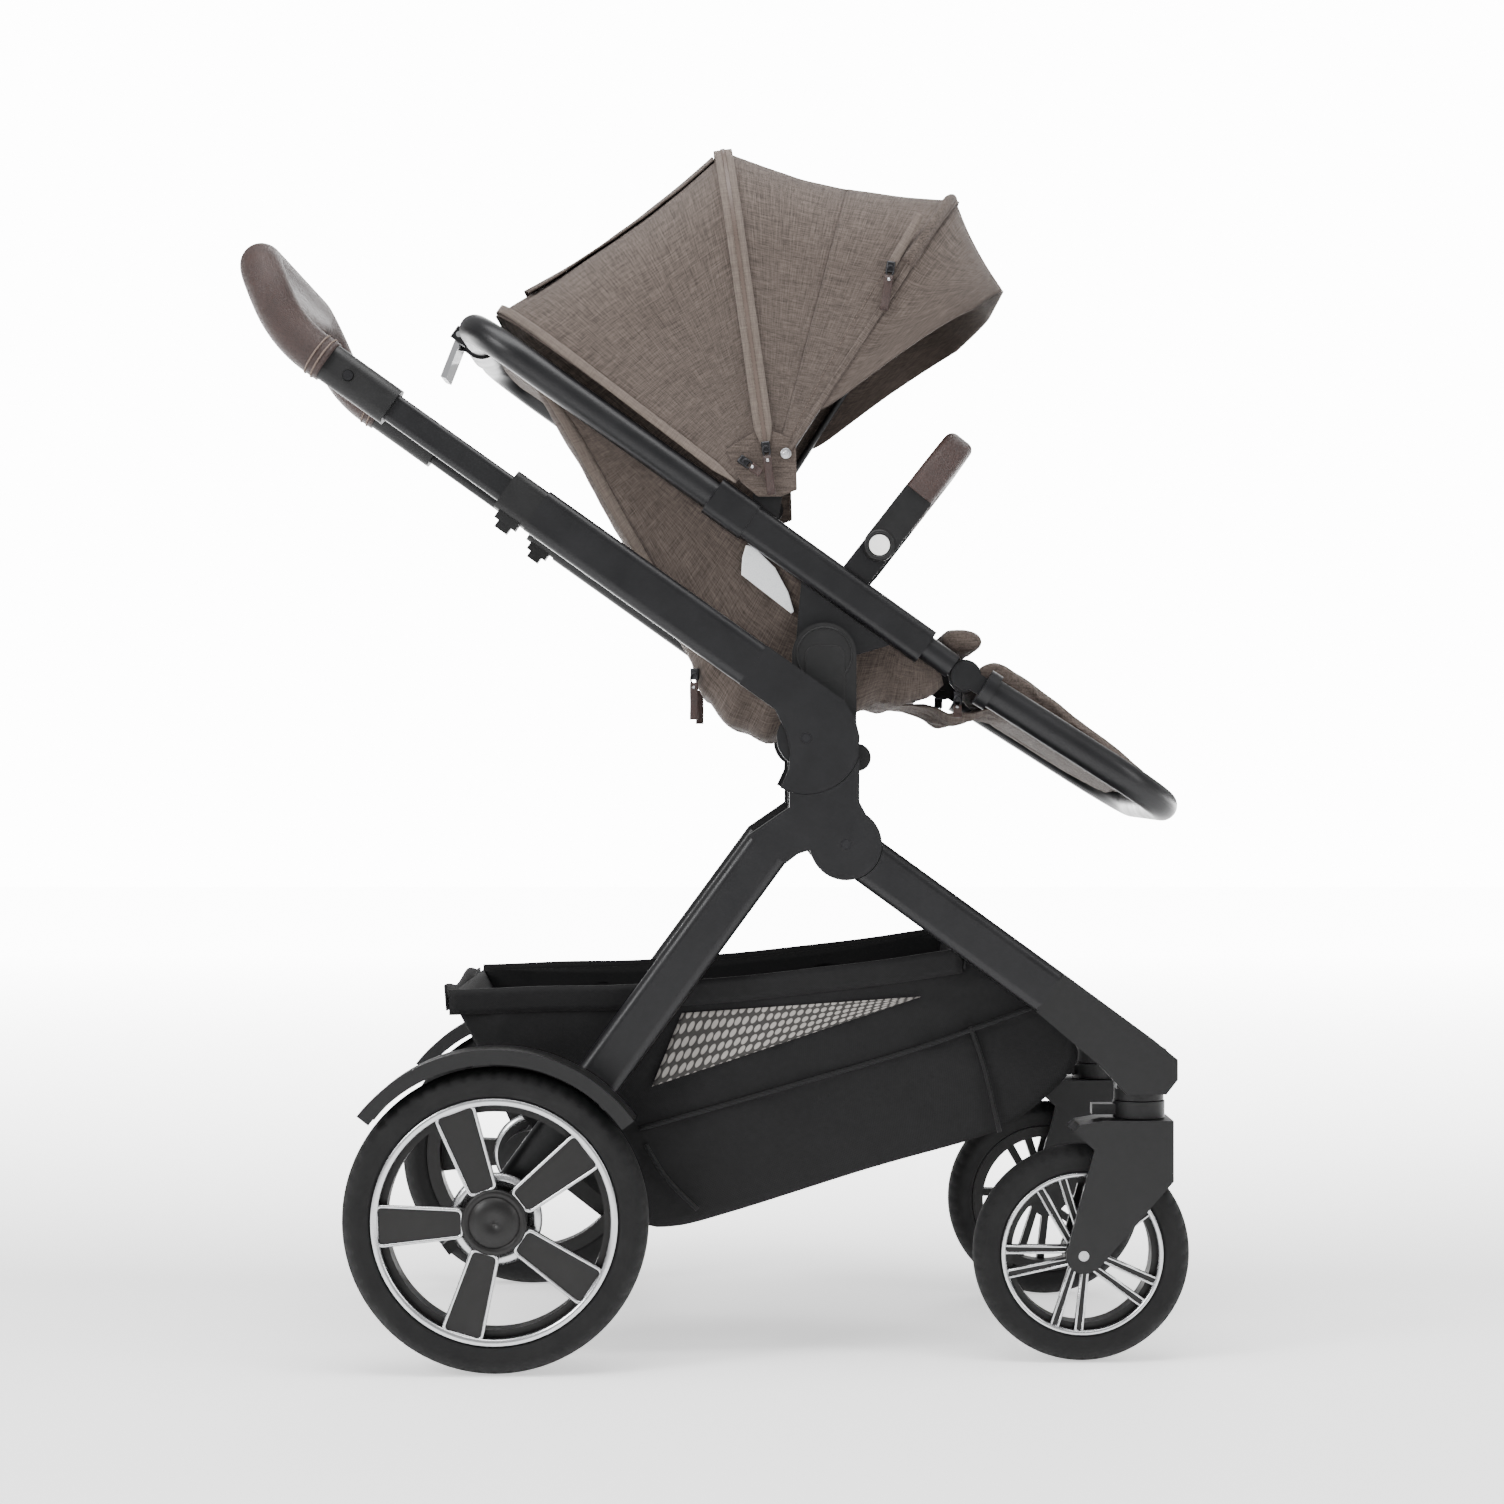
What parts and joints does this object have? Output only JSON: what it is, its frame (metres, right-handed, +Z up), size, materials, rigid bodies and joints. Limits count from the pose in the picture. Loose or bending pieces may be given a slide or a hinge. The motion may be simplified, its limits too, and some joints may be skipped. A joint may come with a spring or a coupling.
{
  "type": "baby stroller",
  "caption": "Full-size folding stroller with telescopic leather grip, reclining bucket seat, zipped hood, bumper bar, under-seat basket and swivel front wheels.",
  "frame": {"origin": "on the floor under the middle of the stroller, centred between its sides and between the handle and the front tyres", "axes": "+X forward, +Y towards the seated child's left, +Z up"},
  "size_m": [0.9192, 0.594, 1.1858],
  "materials": {
    "frame_paint": "satin charcoal powder coat with a fine metallic fleck",
    "black_plastic": "moulded matte black",
    "rim_black": "satin black moulding with bright machined edges",
    "tyre": "matte black foam-filled tyre",
    "steel": "turned steel",
    "chrome": "bright plated",
    "white_plastic": "smooth white moulding",
    "leather_brown": "fine-grained dark brown leatherette",
    "taupe_fabric": "taupe melange woven fabric",
    "black_nylon": "black woven nylon with a mesh window",
    "webbing": "black webbing and padded covers"
  },
  "bodies": {
    "chassis": {"elbow_lower_right": "frame_paint", "elbow_lower_left": "frame_paint", "rear_leg_right": "frame_paint", "rear_leg_left": "frame_paint", "rear_axle": "steel", "brake_housings": "black_plastic", "rear_fenders": "black_plastic", "seat_posts": "black_plastic", "carry_bar": "leather_brown", "pivot_screws": "steel", "basket": "black_nylon"},
    "upper_frame": {"elbow_upper_right": "frame_paint", "elbow_upper_left": "frame_paint", "sleeve_right": "frame_paint", "sleeve_left": "frame_paint", "tube_collars": "black_plastic"},
    "front_frame": {"front_leg_right": "frame_paint", "front_leg_left": "frame_paint", "front_castings": "black_plastic", "footplate": "black_plastic"},
    "handle": {"handle_tubes": "frame_paint", "handle_blocks": "black_plastic", "handle_grip": "leather_brown"},
    "seat": {"seat_rail_right": "frame_paint", "seat_rail_left": "frame_paint", "back_loop": "frame_paint", "seat_shell": "taupe_fabric", "seat_pad": "taupe_fabric", "harness": "webbing", "hood_rear_panel": "taupe_fabric"},
    "calf_rest": {"calf_loop": "frame_paint", "calf_pad": "taupe_fabric"},
    "bumper_bar": {"bumper_bar": "black_plastic", "bumper_grip": "leather_brown"},
    "mid_bow": {"hood_mid_bow": "black_plastic"},
    "front_bow": {"hood_front_bow": "black_plastic", "hood_main_panel": "taupe_fabric"},
    "visor": {"hood_visor": "taupe_fabric"},
    "recline_lever": {"recline_lever": "chrome"},
    "brake_pedal": {"brake_pedal": "black_plastic"},
    "swivel_lock_right": {"swivel_lock_right": "black_plastic"},
    "caster_right": {"fork_right": "black_plastic", "front_pin_right": "steel"},
    "front_wheel_right": {"front_tyre_right": "tyre", "front_rim_right": "rim_black"},
    "rear_wheel_right": {"rear_tyre_right": "tyre", "rear_rim_right": "rim_black"},
    "fold_button_right": {"fold_button_right": "black_plastic"},
    "handle_button_right": {"handle_button_right": "chrome"},
    "bumper_button_right": {"bumper_button_right": "white_plastic"},
    "swivel_lock_left": {"swivel_lock_left": "black_plastic"},
    "caster_left": {"fork_left": "black_plastic", "front_pin_left": "steel"},
    "front_wheel_left": {"front_tyre_left": "tyre", "front_rim_left": "rim_black"},
    "rear_wheel_left": {"rear_tyre_left": "tyre", "rear_rim_left": "rim_black"},
    "fold_button_left": {"fold_button_left": "black_plastic"},
    "handle_button_left": {"handle_button_left": "chrome"},
    "bumper_button_left": {"bumper_button_left": "white_plastic"}
  },
  "joints": [
    {"name": "main_fold", "type": "hinge", "parent": "chassis", "child": "upper_frame", "pos_m": [0.0885, 0, 0.6005], "axis": [0, -1, 0], "range_deg": [0, 86], "deforming": ["basket"]},
    {"name": "front_fold", "type": "hinge", "parent": "chassis", "child": "front_frame", "pos_m": [0.1265, 0, 0.499], "axis": [0, 1, 0], "range_deg": [0, 50.5]},
    {"name": "handle_slide", "type": "slide", "parent": "upper_frame", "child": "handle", "axis": [-0.8141, 0, 0.5807], "range_m": [-0.06, 0.045]},
    {"name": "seat_recline", "type": "hinge", "parent": "chassis", "child": "seat", "pos_m": [0.1065, 0, 0.681], "axis": [0, -1, 0], "range_deg": [0, 30]},
    {"name": "calf_rest", "type": "hinge", "parent": "seat", "child": "calf_rest", "pos_m": [0.24351, 0, 0.66127], "axis": [0, 1, 0], "range_deg": [0, 32]},
    {"name": "bumper_swing", "type": "hinge", "parent": "seat", "child": "bumper_bar", "pos_m": [0.16, 0, 0.7875], "axis": [0, 1, 0], "range_deg": [0, 60]},
    {"name": "hood_fold", "type": "hinge", "parent": "seat", "child": "front_bow", "pos_m": [0.0545, 0, 0.851], "axis": [0, -1, 0], "range_deg": [0, 68], "deforming": ["hood_rear_panel", "hood_main_panel"]},
    {"name": "mid_bow_fold", "type": "hinge", "parent": "seat", "child": "mid_bow", "pos_m": [0.0545, 0, 0.851], "axis": [0, -1, 0], "range_deg": [0, 41]},
    {"name": "visor_fold", "type": "hinge", "parent": "front_bow", "child": "visor", "pos_m": [0.0545, 0, 0.851], "axis": [0, -1, 0], "range_deg": [0, 16], "deforming": ["hood_visor"]},
    {"name": "recline_lever_squeeze", "type": "hinge", "parent": "seat", "child": "recline_lever", "pos_m": [-0.26099, 0, 1.01253], "axis": [0, -1, 0], "range_deg": [0, 16], "stiffness_Nm_per_rad": 0.6},
    {"name": "brake_press", "type": "hinge", "parent": "chassis", "child": "brake_pedal", "pos_m": [-0.2055, 0, 0.145], "axis": [0, -1, 0], "range_deg": [0, 16]},
    {"name": "swivel_lock_right_turn", "type": "hinge", "parent": "front_frame", "child": "swivel_lock_right", "pos_m": [0.4105, -0.2, 0.243], "axis": [0, 0, 1], "range_deg": [0, 24]},
    {"name": "caster_right_swivel", "type": "hinge", "parent": "front_frame", "child": "caster_right", "pos_m": [0.4105, -0.2, 0.27], "axis": [0, 0, 1], "continuous": true},
    {"name": "front_wheel_right_spin", "type": "hinge", "parent": "caster_right", "child": "front_wheel_right", "pos_m": [0.3545, -0.2, 0.1045], "axis": [0, 1, 0], "continuous": true},
    {"name": "rear_wheel_right_spin", "type": "hinge", "parent": "chassis", "child": "rear_wheel_right", "pos_m": [-0.2055, -0.271, 0.145], "axis": [0, 1, 0], "continuous": true},
    {"name": "fold_button_right_press", "type": "slide", "parent": "upper_frame", "child": "fold_button_right", "axis": [0.5807, 0, 0.8141], "range_m": [0, 0.002], "stiffness_N_per_m": 400},
    {"name": "handle_button_right_press", "type": "slide", "parent": "handle", "child": "handle_button_right", "axis": [0, 1, 0], "range_m": [0, 0.002], "stiffness_N_per_m": 400},
    {"name": "bumper_button_right_press", "type": "slide", "parent": "bumper_bar", "child": "bumper_button_right", "axis": [0, 1, 0], "range_m": [0, 0.0025], "stiffness_N_per_m": 400},
    {"name": "swivel_lock_left_turn", "type": "hinge", "parent": "front_frame", "child": "swivel_lock_left", "pos_m": [0.4105, 0.2, 0.243], "axis": [0, 0, 1], "range_deg": [0, 24]},
    {"name": "caster_left_swivel", "type": "hinge", "parent": "front_frame", "child": "caster_left", "pos_m": [0.4105, 0.2, 0.27], "axis": [0, 0, 1], "continuous": true},
    {"name": "front_wheel_left_spin", "type": "hinge", "parent": "caster_left", "child": "front_wheel_left", "pos_m": [0.3545, 0.2, 0.1045], "axis": [0, 1, 0], "continuous": true},
    {"name": "rear_wheel_left_spin", "type": "hinge", "parent": "chassis", "child": "rear_wheel_left", "pos_m": [-0.2055, 0.271, 0.145], "axis": [0, 1, 0], "continuous": true},
    {"name": "fold_button_left_press", "type": "slide", "parent": "upper_frame", "child": "fold_button_left", "axis": [0.5807, 0, 0.8141], "range_m": [0, 0.002], "stiffness_N_per_m": 400},
    {"name": "handle_button_left_press", "type": "slide", "parent": "handle", "child": "handle_button_left", "axis": [0, -1, 0], "range_m": [0, 0.002], "stiffness_N_per_m": 400},
    {"name": "bumper_button_left_press", "type": "slide", "parent": "bumper_bar", "child": "bumper_button_left", "axis": [0, -1, 0], "range_m": [0, 0.0025], "stiffness_N_per_m": 400}
  ],
  "couplings": [
    {"joint": "front_fold", "follows": "main_fold", "ratio": 0.5814},
    {"joint": "mid_bow_fold", "follows": "hood_fold", "ratio": 0.6}
  ]
}
